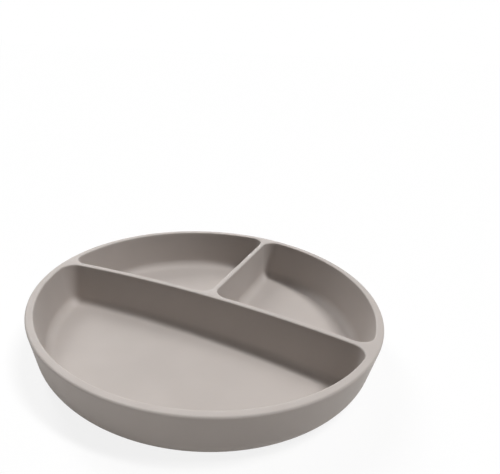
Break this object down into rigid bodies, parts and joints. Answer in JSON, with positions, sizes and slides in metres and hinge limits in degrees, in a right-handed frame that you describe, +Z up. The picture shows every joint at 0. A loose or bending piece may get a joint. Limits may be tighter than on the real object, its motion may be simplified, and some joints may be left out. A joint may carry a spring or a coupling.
{
  "type": "silicone plate",
  "caption": "Round moulded plate with a tall rim, a bowed divider across the middle and a short divider behind it, which part one large compartment from smaller ones.",
  "frame": {"origin": "centre of the flat underside", "axes": "+Z up out of the compartments, +Y from the large compartment towards the small ones, +X along the long divider to the right"},
  "size_m": [0.196, 0.196, 0.0295],
  "materials": {
    "silicone": "matte, fine satin"
  },
  "bodies": {
    "root": {"plate": "silicone"}
  },
  "joints": []
}
